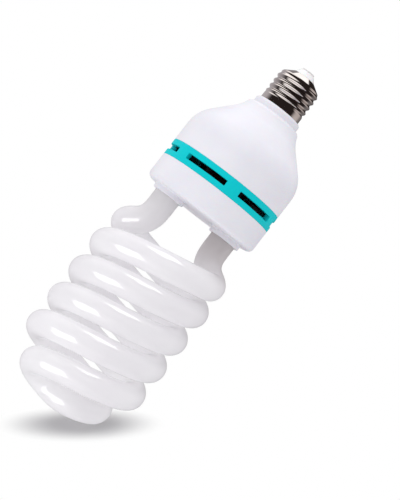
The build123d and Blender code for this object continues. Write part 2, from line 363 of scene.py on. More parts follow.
FINISHES: dict[Slot, Finish] = {
    # The two leg greys of the glass are painted shade.
    Slot.GLASS: CoatedGlass(
        "tube_glass_finish",
        (253, 253, 253),
        (250, 249, 250),
        left_leg_painted_shade=(247, 246, 246),
        right_leg_painted_shade=(227, 223, 222),
    ),
    Slot.HOUSING: MouldedPlastic("housing_finish", (235, 235, 239), (229, 229, 235), shine=0.3),
    Slot.BAND: MouldedPlastic("band_finish", (0, 206, 211), (0, 198, 203), shine=0.12),
    Slot.INSULATOR: MouldedPlastic("insulator_finish", (240, 240, 240), (230, 230, 228), gloss=(0.15, 0.25)),
    Slot.CAP_METAL: RolledMetal("cap_finish", (212, 206, 202), (190, 183, 179), gloss=(0.05, 0.1)),
    Slot.CONTACT: PlainCast("contact_finish", (240, 240, 238), (228, 227, 224), metallic=0.2),
    Slot.CEMENT: PlainCast("cement_finish", (228, 224, 214), (206, 200, 188), gloss=(0.8, 0.95)),
    Slot.BOARD: PlainCast("board_finish", (178, 150, 104), (150, 122, 80), grain=(0.2, 1.0, 1.0)),
    Slot.CAN: PlainCast("can_finish", (52, 52, 62), (36, 36, 44), gloss=(0.25, 0.35)),
    Slot.FERRITE: PlainCast("ferrite_finish", (66, 64, 64), (46, 45, 46), gloss=(0.6, 0.8)),
    # The winding's copper is darkened beyond its own colour, as painted shade inside the vent slots.
    Slot.WINDING: PlainCast(
        "winding_and_slot_shade_finish", (76, 42, 24), (52, 28, 16), gloss=(0.2, 0.35), metallic=0.8, grain=(0.15, 0.15, 3.0)
    ),
    # The film's own brown, darkened further as painted shade inside the vent slots.
    Slot.FILM: PlainCast("film_and_slot_shade_finish", (44, 22, 17), (32, 16, 13), gloss=(0.3, 0.45)),
    Slot.GREY_EPOXY: PlainCast("grey_epoxy_finish", (148, 150, 150), (126, 128, 128), gloss=(0.6, 0.8)),
    Slot.BLACK_EPOXY: PlainCast("black_epoxy_finish", (46, 46, 48), (34, 34, 36), gloss=(0.45, 0.6)),
    Slot.LEAD_SLEEVE: PlainCast("lead_sleeve_finish", (222, 218, 206), (196, 190, 176), gloss=(0.7, 0.9)),
    Slot.BARE_WIRE: PlainCast("bare_wire_finish", (190, 190, 190), (160, 160, 160), metallic=1.0),
}


def material_of(slot: Slot) -> Material:
    """The material that a slot's finish has made."""
    return bpy.data.materials[FINISHES[slot].name]


# Surfaces


def unit(vectors: Array) -> Array:
    """Scale vectors to length one along their last axis."""
    return vectors / np.linalg.norm(vectors, axis=-1, keepdims=True)


def smooth_step(share: Array) -> Array:
    """A smooth rise from 0 to 1: the share's square, times 3 less twice the share."""
    held = np.clip(share, 0, 1)
    return held * held * (3 - 2 * held)


def full_turn(columns: int) -> Array:
    """Even angles round a full turn."""
    return np.arange(columns) * 2 * math.pi / columns


def half_angle(before: Array, corner: Array, after: Array) -> Array:
    """Half the inside angle at each corner, from the two runs that meet there."""
    cosine = np.sum(unit(before - corner) * unit(after - corner), axis=-1)
    return np.arccos(np.clip(cosine, -1, 1)) / 2


def corner_arcs(before: Array, corner: Array, after: Array, radius: Array, steps: int) -> Array:
    """Arcs that round corners.

    The centre lies on the corner's bisector at radius / sin(half angle). The spokes to the two
    tangent points are blended by sin((1 - s) sweep) and sin(s sweep), over sin(sweep), which turns
    one into the other at even angles.

    Args:
        before, corner, after: Arrays of neighbouring points, one row per corner.
        radius: One radius per corner.
        steps: Points per arc.

    Returns:
        The arcs' points, all in one row after another.
    """
    half = half_angle(before, corner, after)
    to_before = unit(before - corner)
    to_after = unit(after - corner)
    reach = (radius / np.tan(half))[:, None]
    centre = corner + unit(to_before + to_after) * (radius / np.sin(half))[:, None]
    first = (corner + to_before * reach - centre)[:, None]
    last = (corner + to_after * reach - centre)[:, None]
    sweep = (math.pi - 2 * half)[:, None, None]
    s = np.linspace(0, 1, steps)[None, :, None]
    spokes = (np.sin((1 - s) * sweep) * first + np.sin(s * sweep) * last) / np.sin(sweep)
    return (centre[:, None] + spokes).reshape(-1, corner.shape[-1])


def section(*corners: Corner, closed: bool = False, steps: int = 8) -> Array:
    """A section with rounded corners; where it isn't closed, its two ends stay as they are.

    Args:
        corners: Radius, height and rounding of each corner, in order.
        closed: Whether the last corner joins the first.
        steps: Points per corner.

    Returns:
        Rows of radius and height.
    """
    table = np.array(corners)
    points, rounding = table[:, :2], table[:, 2]
    before, after = np.roll(points, 1, axis=0), np.roll(points, -1, axis=0)
    if closed:
        return corner_arcs(before, points, after, rounding, steps)
    arcs = corner_arcs(before[1:-1], points[1:-1], after[1:-1], rounding[1:-1], steps)
    return np.vstack([points[:1], arcs, points[-1:]])


def resampled(points: Array, step: float) -> Array:
    """Points at an even step along a line, by interpolation over its running length.

    Args:
        points: The line's points.
        step: The distance wanted between points.

    Returns:
        The new points, with the same ends.
    """
    run = np.concatenate([[0.0], np.cumsum(np.linalg.norm(np.diff(points, axis=0), axis=1))])
    even = np.linspace(0, run[-1], max(2, round(run[-1] / step) + 1))
    return np.stack([np.interp(even, run, column) for column in points.T], axis=1)


def grid_quads(rows: int, columns: int, closed: bool) -> Array:
    """Faces of a grid whose columns go round, and whose rows go round too where it is closed.

    Args:
        rows, columns: The grid's size.
        closed: Whether the last row joins the first.

    Returns:
        Four point numbers per face.
    """
    here = np.arange(rows * columns).reshape(rows, columns)
    below = np.roll(here, -1, axis=0)
    if not closed:
        here, below = here[:-1], below[:-1]
    corners = [here, np.roll(here, -1, axis=1), np.roll(below, -1, axis=1), below]
    return np.stack(corners, axis=-1).reshape(-1, 4)


def pole_fans(rows: int, columns: int) -> Array:
    """Triangles from the first and the last row of a grid to the two points that follow it.

    Args:
        rows, columns: The grid's size.

    Returns:
        Three point numbers per face.
    """
    ring = np.arange(columns)
    following = np.roll(ring, -1)
    last = (rows - 1) * columns
    pole = np.full(columns, rows * columns)
    first_fan = np.stack([following, ring, pole], axis=-1)
    last_fan = np.stack([ring + last, following + last, pole + 1], axis=-1)
    return np.vstack([first_fan, last_fan])


def make_mesh(name: str, points: Array, quads: Array, triangles: Array | None = None) -> Mesh:
    """Put a surface into a smooth mesh, with its faces turned outwards.

    Args:
        name: The mesh's name.
        points: Points in millimetres.
        quads: Four point numbers per face.
        triangles: Three point numbers per face, for poles.

    Returns:
        The mesh, in metres.
    """
    mesh = bpy.data.meshes.new(name)
    fans = [] if triangles is None else triangles.tolist()
    mesh.from_pydata(points * MM, [], [*quads.tolist(), *fans])
    shape = bmesh.new()
    shape.from_mesh(mesh)
    bmesh.ops.recalc_face_normals(shape, faces=shape.faces)
    shape.to_mesh(mesh)
    shape.free()
    mesh.shade_smooth()
    return mesh


def turned_points(outline: Array, columns: int, place: Pair = AXIS, first: float = 0.0) -> Array:
    """Carry a section round an upright axis: (radius cos a, radius sin a, height) for every angle a.

    Args:
        outline: Rows of radius and height.
        columns: How many angles.
        place: Where the axis stands.
        first: The first angle, in degrees.

    Returns:
        The grid's points, row by row.
    """
    angle = math.radians(first) + full_turn(columns)
    radius, height = outline[:, :1], outline[:, 1:]
    x = place[0] + radius * np.cos(angle)
    y = place[1] + radius * np.sin(angle)
    return np.stack([x, y, np.broadcast_to(height, x.shape)], axis=-1).reshape(-1, 3)


def turned_ring(name: str, outline: Array, columns: int) -> Mesh:
    """A ring turned from a closed section that is clear of the axis."""
    return make_mesh(name, turned_points(outline, columns), grid_quads(len(outline), columns, closed=True))


def turned_solid(name: str, outline: Array, columns: int, place: Pair = AXIS) -> Mesh:
    """A solid turned from a section that starts and ends on its axis, where one point closes each pole.

    Args:
        name: The mesh's name.
        outline: Rows of radius and height, the first and the last at radius 0.
        columns: How many angles.
        place: Where the axis stands.

    Returns:
        The mesh.
    """
    rings = outline[1:-1]
    poles = np.array([[*place, outline[0, 1]], [*place, outline[-1, 1]]])
    points = np.vstack([turned_points(rings, columns, place), poles])
    quads = grid_quads(len(rings), columns, closed=False)
    return make_mesh(name, points, quads, pole_fans(len(rings), columns))


def add_object(mesh: Mesh) -> Thing:
    """Put a mesh into the scene, as an object of the same name.

    Args:
        mesh: The mesh.

    Returns:
        The object.
    """
    thing = bpy.data.objects.new(mesh.name, mesh)
    bpy.context.scene.collection.objects.link(thing)
    return thing


def evened(thing: Thing) -> Thing:
    """Let large faces decide a piece's shading, so that flats stay flat beside small roundings."""
    thing.modifiers.new("even_normals", "WEIGHTED_NORMAL").keep_sharp = True
    return thing


class Way(Enum):
    """How a tool changes a target."""

    ADD = "UNION"
    CUT = "DIFFERENCE"


def combined(target: Thing, tool: Thing, way: Way) -> None:
    """Join a tool to a target, or cut it out, and remove the tool.

    Args:
        target: The object that changes.
        tool: The object that is added or cut out.
        way: Which of the two.
    """
    modifier = target.modifiers.new("combine", "BOOLEAN")
    modifier.operation = way.value
    modifier.solver = "EXACT"
    modifier.object = tool
    bpy.context.view_layer.update()
    depsgraph = bpy.context.evaluated_depsgraph_get()
    result = bpy.data.meshes.new_from_object(target.evaluated_get(depsgraph))
    target.modifiers.clear()
    target.data = result
    bpy.data.objects.remove(tool)


def dress(thing: Thing, node: str, slot: Slot) -> None:
    """Give a piece its finish, and let it stand for a CAD node.

    Args:
        thing: The piece.
        node: The CAD node that it replaces.
        slot: The record's slot of its finish.
    """
    thing.data.materials.append(material_of(slot))
    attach(thing, BODY)
    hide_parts(node)
    log.info("%s: %d faces", thing.name, len(thing.data.polygons))


def low(node: str) -> Vector:
    """The lowest corner of a CAD node, in millimetres."""
    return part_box(node)[0] / MM


def high(node: str) -> Vector:
    """The highest corner of a CAD node, in millimetres."""
    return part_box(node)[1] / MM


# Sub-assemblies


@dataclass
class ScrewCap:
    """Rolled shell with a round thread, its insulator and the centre contact."""

    contact_radius: float = 4.0
    contact_height: float = 0.9
    contact_dimple: float = 0.25
    dimple_slope: float = 0.5
    rivet_radius: float = 1.5
    nose_rim: float = 0.3
    nose_round: float = 0.5
    mouth_radius: float = 6.8
    shoulder_height: float = 3.4
    shoulder_round: float = 1.6
    crest_radius: float = 13.15
    thread_depth: float = 1.05
    thread_pitch: float = 3.629
    thread_turns: float = 4.5
    thread_fade: float = 0.7
    thread_blend: float = 1.0
    skirt_radius: float = 12.9
    sheet: float = 0.2
    clearance: float = 0.1
    columns: int = 144
    row_step: float = 0.2

    def __post_init__(self) -> None:
        """Read the shell's mouth from the CAD node, and work out where the thread starts and ends."""
        self.mouth: float = high("cap_shell").z
        self.thread_top: float = self.mouth - self.shoulder_height
        self.thread_bottom: float = self.thread_top - self.thread_pitch * self.thread_turns

    def thread_wave(self, height: Array, angle: Array) -> Array:
        """The thread's height over the mean radius.

        Half the depth times the cosine of the angle, less one turn per pitch of height, faded to
        nothing with a smooth step over part of a pitch at both ends.

        Args:
            height: Heights, one per row.
            angle: Angles, one per column.

        Returns:
            A grid of distances.
        """
        edge = np.minimum(self.thread_top - height, height - self.thread_bottom)
        fade = smooth_step(edge / (self.thread_fade * self.thread_pitch))
        turn = 2 * math.pi * (height - self.thread_bottom) / self.thread_pitch
        return self.thread_depth / 2 * np.cos(angle[None, :] - turn[:, None]) * fade[:, None]

    def build_shell(self) -> Thing:
        """Make the shell: a sheet of even thickness along shoulder, thread and skirt, waved by the thread."""
        bottom = low("cap_shell").z
        mean_radius = self.crest_radius - self.thread_depth / 2
        outside = section(
            (self.mouth_radius + self.sheet, self.mouth, 0),
            (mean_radius - self.thread_depth / 2, self.thread_top, self.shoulder_round),
            (mean_radius, self.thread_top - self.thread_pitch / 2, self.thread_blend),
            (mean_radius, self.thread_bottom + self.thread_pitch / 2, self.thread_blend),
            (self.skirt_radius, self.thread_bottom, self.thread_blend),
            (self.skirt_radius, bottom, 0),
        )
        outside = resampled(outside, self.row_step)
        along = unit(np.gradient(outside, axis=0))
        outward = np.stack([-along[:, 1], along[:, 0]], axis=1)
        inside = outside - outward * self.sheet
        inside[-1, 1] = bottom
        inside[0, 1] = self.mouth
        outline = np.vstack([outside, inside[::-1]])
        points = turned_points(outline, self.columns).reshape(len(outline), self.columns, 3)
        angle = full_turn(self.columns)
        wave = self.thread_wave(outline[:, 1], angle)
        points[..., 0] += wave * np.cos(angle)
        points[..., 1] += wave * np.sin(angle)
        quads = grid_quads(len(outline), self.columns, closed=True)
        return add_object(make_mesh("screw_shell", points.reshape(-1, 3), quads))

    def build_insulator(self) -> Thing:
        """Make the moulded plug that rises through the shell's mouth as a cone."""
        top = -self.contact_height
        foot = low("cap_insulator").z
        plug = high("cap_insulator").x
        bore = self.rivet_radius + self.clearance
        throat = self.mouth_radius - self.clearance
        outline = section(
            (bore, top, KEEN),
            (self.contact_radius + self.nose_rim, top, self.nose_round),
            (throat, self.mouth + self.clearance, FULL),
            (throat, self.mouth - self.clearance, KEEN),
            (plug, self.thread_top - self.clearance, FINE),
            (plug, foot, SOFT),
            (bore, foot, CRISP),
            closed=True,
        )
        return evened(add_object(turned_ring("insulator", outline, self.columns)))

    def build_contact(self) -> Thing:
        """Make the contact: a round-edged head with a shallow dimple over its rivet."""
        foot = low("centre_contact").z
        outline = section(
            (0, -self.contact_dimple, 0),
            (self.rivet_radius, -self.contact_dimple, SOFT),
            (self.rivet_radius + self.dimple_slope, 0, EASED),
            (self.contact_radius, 0, EASED),
            (self.contact_radius, -self.contact_height, CRISP),
            (self.rivet_radius, -self.contact_height, CRISP),
            (self.rivet_radius, foot, SOFT),
            (0, foot, 0),
        )
        return evened(add_object(turned_solid("contact", outline, self.columns)))

    def build(self) -> None:
        """Make and dress the cap's three pieces."""
        dress(self.build_shell(), "cap_shell", Slot.CAP_METAL)
        dress(self.build_insulator(), "cap_insulator", Slot.INSULATOR)
        dress(self.build_contact(), "centre_contact", Slot.CONTACT)


@dataclass
class BallastHousing:
    """Moulded dome, vent ring and tube cup round the ballast."""

    spigot_radius: float = 11.7
    spigot_wall: float = 1.5
    collar_radius: float = 14.8
    collar_height: float = 4.4
    collar_bevel: float = 1.0
    neck_step: float = 2.4
    neck_edge: float = 1.0
    neck_round: float = 0.9
    neck_slope: float = 70.0
    dome_slope: float = 47.0
    neck_curve: float = 22.0
    neck_curve_eased: float = 20.0
    dome_curve: float = 20.0
    dome_steps: int = 10
    wall: float = 2.0
    edge: float = 0.35
    inner_edge: float = 0.2
    slot_count: int = 6
    slot_cells: int = 24
    sector_cells: int = 32
    slot_height: float = 3.4
    slot_first: float = -110.5
    slot_rows: int = 4
    slot_bevel: float = 0.3
    slot_bevel_steps: int = 2
    slot_bevel_angle: float = 50.0
    tongue_height: float = 2.5
    tongue_wall: float = 1.2
    clearance: float = 0.1
    base_edge: float = 3.0
    base_height: float = 15.0
    base_inner_edge: float = 0.8
    base_steps: int = 12
    plate_thickness: float = 2.4
    leg_radius: float = 20.0
    leg_lead: float = 10.0
    sleeve_bore: float = 8.1
    sleeve_wall: float = 1.9
    sleeve_rise: float = 5.0
    sleeve_foot: float = 0.8
    sleeve_foot_tip: float = 0.01
    bore_lead: float = 0.4
    bore_overshoot: float = 1.0
    post_circle: float = 28.3
    post_angles: tuple[float, ...] = (55.0, 125.0, 235.0, 305.0)
    post_radius: float = 2.4
    peg_radius: float = 1.1
    sharp_angle: float = 40.0
    columns: int = 192
    small_columns: int = 96

    def __post_init__(self) -> None:
        """Read the body's radius and levels from the CAD nodes."""
        self.body_radius: float = high("upper_housing").x
        self.inner_radius: float = self.body_radius - self.wall
        self.cap_bottom: float = low("cap_shell").z
        self.collar_bottom: float = self.cap_bottom - self.collar_height
        self.band_top: float = low("upper_housing").z
        self.band_bottom: float = low("vent_ring").z + self.tongue_height
        self.plate_bottom: float = self.band_bottom - self.base_height
        self.plate_top: float = self.plate_bottom + self.plate_thickness
        self.plate_middle: float = (self.plate_bottom + self.plate_top) / 2
        self.sleeve_bottom: float = low("lower_housing").z
        self.sleeve_top: float = self.plate_top + self.sleeve_rise
        self.board_bottom: float = low("ballast_board").z
        self.peg_top: float = high("lower_housing").z

    def dome_corners(self) -> tuple[Array, Array, Array]:
        """The three points that carry the dome's section.

        The neck line starts at the neck's edge and falls at the neck slope for the hollow curve's
        tangent length, radius times tan(half the turn). The cone line goes on at the dome slope until
        it meets the side.

        Returns:
            The neck's edge, the corner of the hollow and the corner of the shoulder.
        """
        steep = math.radians(self.neck_slope)
        flat = math.radians(self.dome_slope)
        start = np.array([self.collar_radius + self.neck_step, self.collar_bottom - self.neck_edge])
        run = self.neck_curve * math.tan((steep - flat) / 2)
        hollow = start + run * np.array([math.cos(steep), -math.sin(steep)])
        reach = self.body_radius - hollow[0]
        shoulder = hollow + reach * np.array([1.0, -math.tan(flat)])
        return start, hollow, shoulder

    def inset(self, corner: Array, slope_before: float, slope_after: float) -> Array:
        """Move a corner inwards by the wall.

        The two inward normals are added and divided by one plus their product, which keeps both runs
        a wall away.

        Args:
            corner: The outer corner.
            slope_before, slope_after: The slopes of the runs that meet there, in degrees.

        Returns:
            The inner corner.
        """
        slopes = np.radians([slope_before, slope_after])
        normals = np.stack([-np.sin(slopes), -np.cos(slopes)], axis=1)
        return corner + self.wall * normals.sum(0) / (1 + normals[0] @ normals[1])

    def build_dome(self) -> Thing:
        """Make the upper housing: spigot, collar, neck, hollow, cone and shoulder, with an even wall."""
        start, hollow, shoulder = self.dome_corners()
        spigot_top = high("upper_housing").z
        spigot_bore = self.spigot_radius - self.spigot_wall
        inner_start = self.inset(start, self.neck_slope, self.neck_slope)
        inner_hollow = self.inset(hollow, self.neck_slope, self.dome_slope)
        inner_shoulder = self.inset(shoulder, self.dome_slope, 90)
        outline = section(
            (spigot_bore, inner_start[1], SOFT),
            (spigot_bore, spigot_top, SOFT),
            (self.spigot_radius, spigot_top, EASED),
            (self.spigot_radius, self.cap_bottom, CRISP),
            (self.collar_radius - self.collar_bevel, self.cap_bottom, EASED),
            (self.collar_radius, self.cap_bottom - self.collar_bevel, FULL),
            (self.collar_radius, self.collar_bottom, EASED),
            (self.collar_radius + self.neck_step - self.neck_edge, self.collar_bottom, FULL),
            (*start, self.neck_round),
            (*hollow, self.neck_curve_eased),
            (*shoulder, self.dome_curve),
            (self.body_radius, self.band_top, self.edge),
            (self.inner_radius, self.band_top, self.inner_edge),
            (*inner_shoulder, self.dome_curve - self.wall),
            (*inner_hollow, self.neck_curve_eased),
            (*inner_start, SOFT),
            closed=True,
            steps=self.dome_steps,
        )
        return evened(add_object(turned_ring("dome", outline, self.columns)))

    def ring_outline(self) -> tuple[Array, int, int]:
        """The vent ring's section, with rows for the slots in its outer and its inner face.

        The upper half goes from the bore's middle over the tongue to the side's middle, and the lower
        half comes back the same way.

        Returns:
            Rows of radius and height, the row of the slot's top outside, and that of its foot inside.
        """
        tongue = self.inner_radius - self.clearance
        bore = tongue - self.tongue_wall
        middle = (self.band_top + self.band_bottom) / 2
        rise = np.linspace(self.slot_height / 2, -self.slot_height / 2, self.slot_rows + 1)
        outer_slot = np.stack([np.full(len(rise), self.body_radius), middle + rise], axis=1)
        inner_slot = np.stack([np.full(len(rise), bore), middle - rise], axis=1)
        upper, lower = (
            [
                (bore, middle, 0),
                (bore, level + reach, SOFT),
                (tongue, level + reach, SOFT),
                (tongue, level, CRISP),
                (self.body_radius, level, self.edge),
                (self.body_radius, middle, 0),
            ]
            for level, reach in ((self.band_top, self.tongue_height), (self.band_bottom, -self.tongue_height))
        )
        upper_rows = section(*upper)[1:-1]
        lower_rows = section(*lower[::-1])[1:-1]
        outline = np.vstack([upper_rows, outer_slot, lower_rows, inner_slot])
        outer_top = len(upper_rows)
        inner_foot = outer_top + len(outer_slot) + len(lower_rows)
        return outline, outer_top, inner_foot

    def build_ring(self) -> Thing:
        """Make the vent ring: a grid with windows in both faces, joined through the wall.

        Columns are even, and a slot takes the first cells of each sector. Window faces are left out of
        the grid, and the slot's roof, floor and ends join the same rows and columns of both faces.

        Returns:
            The ring.
        """
        outline, outer_top, inner_foot = self.ring_outline()
        columns = self.slot_count * self.sector_cells
        half_slot = self.slot_cells * 180 / columns
        points = turned_points(outline, columns, first=self.slot_first - half_slot)
        open_column = np.arange(columns) % self.sector_cells < self.slot_cells
        open_row = np.zeros(len(outline), bool)
        open_row[outer_top : outer_top + self.slot_rows] = True
        open_row[inner_foot : inner_foot + self.slot_rows] = True
        kept = ~(open_row[:, None] & open_column[None, :])
        faces = grid_quads(len(outline), columns, closed=True)[kept.ravel()]
        number = np.arange(len(points)).reshape(len(outline), columns)
        outer = number[outer_top : outer_top + self.slot_rows + 1]
        inner = number[inner_foot : inner_foot + self.slot_rows + 1][::-1]
        outer_next = np.roll(outer, -1, axis=1)
        inner_next = np.roll(inner, -1, axis=1)
        shelves = [
            np.stack([outer[row], outer_next[row], inner_next[row], inner[row]], axis=-1)[open_column]
            for row in (0, -1)
        ]
        ends = [
            np.stack([outer[:-1, at], outer[1:, at], inner[1:, at], inner[:-1, at]], axis=-1).reshape(-1, 4)
            for at in (np.arange(first, columns, self.sector_cells) for first in (0, self.slot_cells))
        ]
        thing = add_object(make_mesh("vent_band", points, np.vstack([faces, *shelves, *ends])))
        bevel = thing.modifiers.new("slot_edges", "BEVEL")
        bevel.width = self.slot_bevel * MM
        bevel.segments = self.slot_bevel_steps
        bevel.limit_method = "ANGLE"
        bevel.angle_limit = math.radians(self.slot_bevel_angle)
        return evened(thing)

    def sleeve_outline(self) -> Array:
        """A leg's sleeve, filled, with a rounded foot on the plate."""
        outside = self.sleeve_bore + self.sleeve_wall
        foot = outside + 2 * self.sleeve_foot
        return section(
            (0, self.sleeve_bottom, 0),
            (outside, self.sleeve_bottom, FULL),
            (outside, self.plate_bottom, self.sleeve_foot),
            (foot, self.plate_bottom, self.sleeve_foot_tip),
            (foot, self.plate_middle, CRISP),
            (outside, self.plate_middle, CRISP),
            (outside, self.sleeve_top, EASED),
            (0, self.sleeve_top, 0),
        )

    def bore_outline(self) -> Array:
        """What is cut out of a sleeve, wider at its mouth."""
        mouth = self.sleeve_bottom - self.bore_overshoot
        top = self.sleeve_top + self.bore_overshoot
        return section(
            (0, mouth, 0),
            (self.sleeve_bore + self.bore_overshoot, mouth, CRISP),
            (self.sleeve_bore, self.sleeve_bottom + self.bore_lead, SOFT),
            (self.sleeve_bore, top, CRISP),
            (0, top, 0),
        )

    def post_outline(self) -> Array:
        """A post for the board, with the peg that goes through it."""
        return section(
            (0, self.plate_middle, 0),
            (self.post_radius, self.plate_middle, CRISP),
            (self.post_radius, self.board_bottom, FINE),
            (self.peg_radius, self.board_bottom, CRISP),
            (self.peg_radius, self.peg_top, SOFT),
            (0, self.peg_top, 0),
        )

    def places(self, radius: float, angles: tuple[float, ...]) -> list[Pair]:
        """Places on a circle round the axis."""
        return [(radius * math.cos(math.radians(a)), radius * math.sin(math.radians(a))) for a in angles]

    def build_cup(self) -> Thing:
        """Make the lower housing: a cup with a round rim, a sleeve for each leg and posts for the board."""
        outline = section(
            (0, self.plate_bottom, 0),
            (self.body_radius, self.plate_bottom, self.base_edge),
            (self.body_radius, self.band_bottom, self.edge),
            (self.inner_radius, self.band_bottom, self.inner_edge),
            (self.inner_radius, self.plate_top, self.base_inner_edge),
            (0, self.plate_top, 0),
            steps=self.base_steps,
        )
        cup = add_object(turned_solid("tube_cup", outline, self.columns))
        legs = self.places(self.leg_radius, (self.leg_lead, self.leg_lead + 180))
        posts = self.places(self.post_circle, self.post_angles)
        for name, shape, places, way in (
            ("sleeve", self.sleeve_outline(), legs, Way.ADD),
            ("bore", self.bore_outline(), legs, Way.CUT),
            ("post", self.post_outline(), posts, Way.ADD),
        ):
            for place in places:
                combined(cup, add_object(turned_solid(name, shape, self.small_columns, place)), way)
        cup.data.set_sharp_from_angle(angle=math.radians(self.sharp_angle))
        return evened(cup)

    def build(self) -> None:
        """Make and dress the housing's three pieces."""
        dress(self.build_dome(), "upper_housing", Slot.HOUSING)
        dress(self.build_ring(), "vent_ring", Slot.BAND)
        dress(self.build_cup(), "lower_housing", Slot.HOUSING)


@dataclass
class LampTube:
    """One glass tube: two legs, two interleaved helices, and a crossing that joins them at the far end."""

    tube_radius: float = 7.9
    leg_radius: float = 20.0
    leg_lead: float = 10.0
    coil_top: float = -126.75
    coil_radius: float = 31.9
    coil_pitch: float = 38.2
    leg_bend_rise: float = 5.0
    first_turn: float = 8.0
    first_drop: float = 2.0
    first_swell: float = 1.0
    coil_start: float = 40.0
    corner_step: float = 36.0
    coil_corners: int = 23
    draw_in_start: float = 765.0
    coil_end: float = 900.0
    end_radius: float = 22.8
    end_rise: float = 1.0
    crossing_reach: float = 26.5
    crossing_side: float = 11.4
    crossing_drop: float = 6.2
    crossing_turn: float = 36.0
    bend_share: float = 0.49
    bend_steps: int = 24
    row_step: float = 0.8
    easing: float = 2.4
    easing_width: float = 4.0
    crossing_easing: float = 5.0
    crossing_run: float = 70.0
    columns: int = 56
    sharp_angle: float = 50.0
    level_hint: Direction = (0.5, 0.5, 0.7071)

    def coil_points(self) -> Array:
        """Corners of the polygon round one helix.

        The angle grows by even steps and the height falls by a pitch per turn. Near the end the radius
        is drawn in from the coil's to the end's by half a cosine wave. A corner stands out by one over
        cos(half a step), so that the runs touch the helix at their middles.

        Returns:
            Rows of X, Y and Z.
        """
        turn = self.coil_start + self.corner_step * np.arange(self.coil_corners)
        drawn = np.clip((turn - self.draw_in_start) / (self.coil_end - self.draw_in_start), 0, None)
        radius = self.coil_radius - (self.coil_radius - self.end_radius) * (1 - np.cos(math.pi * drawn)) / 2
        radius = radius / math.cos(math.radians(self.corner_step / 2))
        angle = np.radians(-turn)
        height = self.coil_top - self.coil_pitch * turn / 360
        return np.stack([radius * np.cos(angle), radius * np.sin(angle), height], axis=1)

    def guide(self) -> Array:
        """Corners of the whole tube's polygon: leg, bend, helix, crossing, and the same half a turn round."""
        lead = math.radians(self.leg_lead)
        first = math.radians(-self.first_turn)
        leg = self.leg_radius * np.array([math.cos(lead), math.sin(lead)])
        swell = (self.coil_radius + self.first_swell) * np.array([math.cos(first), math.sin(first)])
        end_level = self.coil_top - self.coil_pitch * self.coil_end / 360
        start = [
            [*leg, high("lamp_tube").z],
            [*leg, self.coil_top + self.leg_bend_rise],
            [*swell, self.coil_top - self.first_drop],
        ]
        crossing = np.array(
            [
                [-self.crossing_reach, self.crossing_side, end_level + self.end_rise],
                [0.0, self.crossing_side, end_level - self.crossing_drop],
            ]
        )
        crossing = crossing @ np.array(Matrix.Rotation(math.radians(-self.crossing_turn), 3, "Z"))
        half = np.vstack([start, self.coil_points(), crossing])
        return np.vstack([half, half[::-1] * np.array([-1.0, -1.0, 1.0])])

    def path(self) -> Array:
        """The tube's middle line.

        Every corner is rounded by an arc whose tangent length is a share of the shorter run. The line is
        then read at even steps and eased, so that its curvature has no jumps. A smooth step over the
        distance from its middle mixes in a wider easing, which makes the crossing one soft bend.

        Returns:
            Rows of X, Y and Z at even steps.
        """
        points = self.guide()
        before, corner, after = points[:-2], points[1:-1], points[2:]
        runs = np.linalg.norm(np.diff(points, axis=0), axis=1)
        reach = self.bend_share * np.minimum(runs[:-1], runs[1:])
        radius = reach * np.tan(half_angle(before, corner, after))
        arcs = corner_arcs(before, corner, after, radius, self.bend_steps)
        line = resampled(np.vstack([points[:1], arcs, points[-1:]]), self.row_step)
        from_middle = np.abs(np.arange(len(line)) - (len(line) - 1) / 2) * self.row_step
        share = smooth_step(1 - from_middle / self.crossing_run)[:, None]
        return (1 - share) * self.eased(line, self.easing) + share * self.eased(line, self.crossing_easing)

    def eased(self, line: Array, spread: float) -> Array:
        """A line smoothed by a bell-shaped mean.

        Args:
            line: Rows of X, Y and Z at even steps.
            spread: The bell's standard deviation along the line.

        Returns:
            As many rows, with both ends where they were.
        """
        width = round(self.easing_width * spread / self.row_step)
        bell = np.exp(-0.5 * (np.arange(-width, width + 1) * self.row_step / spread) ** 2)
        padded = np.pad(line, ((width, width), (0, 0)), mode="reflect", reflect_type="odd")
        return np.stack([np.convolve(column, bell / bell.sum(), "valid") for column in padded.T], axis=1)

    def build(self) -> None:
        """Carry a circle along the middle line, square to it, close both ends and dress the tube."""
        line = self.path()
        along = unit(np.gradient(line, axis=0))
        side = unit(np.cross(along, np.array(self.level_hint)))
        over = np.cross(side, along)
        angle = full_turn(self.columns)[None, :, None]
        spokes = np.cos(angle) * side[:, None] + np.sin(angle) * over[:, None]
        rings = (line[:, None] + self.tube_radius * spokes).reshape(-1, 3)
        points = np.vstack([rings, line[:1], line[-1:]])
        quads = grid_quads(len(line), self.columns, closed=False)
        mesh = make_mesh("spiral_tube", points, quads, pole_fans(len(line), self.columns))
        mesh.set_sharp_from_angle(angle=math.radians(self.sharp_angle))
        dress(add_object(mesh), "lamp_tube", Slot.GLASS)


class BallastParts:
    """The cement, the board and its components, which keep their CAD shapes."""

    def build(self) -> None:
        """Give each CAD node that still shows the finish of its slot."""
        dressed = {Slot.GLASS, Slot.HOUSING, Slot.BAND, Slot.CAP_METAL, Slot.INSULATOR, Slot.CONTACT}
        for part in frame["record"]["subparts"]:
            slot = Slot(part["material_slot"])
            if slot in dressed:
                continue
            mesh = frame["nodes"][part["node"]].data
            mesh.materials.clear()
            mesh.materials.append(material_of(slot))
            log.info("%s: %s", part["node"], slot.value)


# Studio


